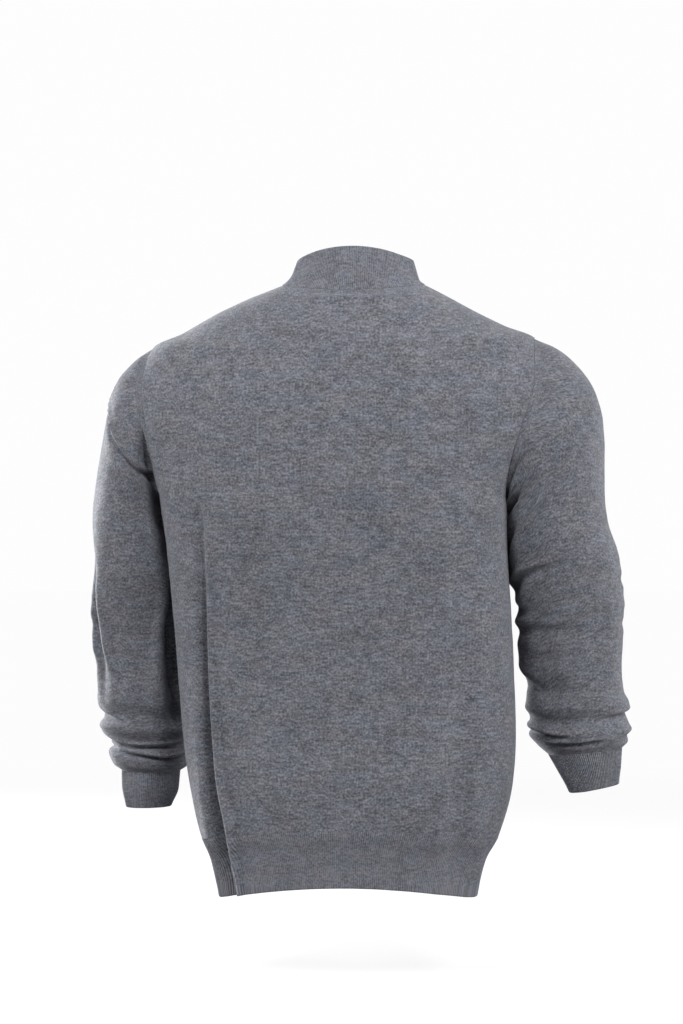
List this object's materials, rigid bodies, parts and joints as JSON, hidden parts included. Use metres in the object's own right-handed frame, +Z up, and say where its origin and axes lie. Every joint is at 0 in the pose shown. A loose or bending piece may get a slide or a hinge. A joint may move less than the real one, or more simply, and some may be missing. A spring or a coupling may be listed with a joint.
{
  "type": "mock-neck sweater",
  "caption": "Fine-knit grey sweater with a ribbed stand-up neck, set-in sleeves and ribbed cuffs and hem, standing open in its worn shape.",
  "frame": {"origin": "middle of the neck base, level with the tops of the shoulder seams, where the wearer carries the sweater", "axes": "+Z up; the wearer faces -Y, so +X is the wearer's left"},
  "size_m": [0.6191, 0.2295, 0.7319],
  "materials": {
    "jersey_knit": "fine-gauge grey-marl jersey, matt with a faint fuzz",
    "rib_knit": "fine grey-marl rib knit, matt"
  },
  "bodies": {
    "root": {"back_panel": "jersey_knit", "front_panel": "jersey_knit", "sleeve_left": "jersey_knit", "sleeve_right": "jersey_knit", "collar": "rib_knit", "back_hem_rib": "rib_knit", "front_hem_rib": "rib_knit", "cuff_left": "rib_knit", "cuff_right": "rib_knit"}
  },
  "joints": []
}
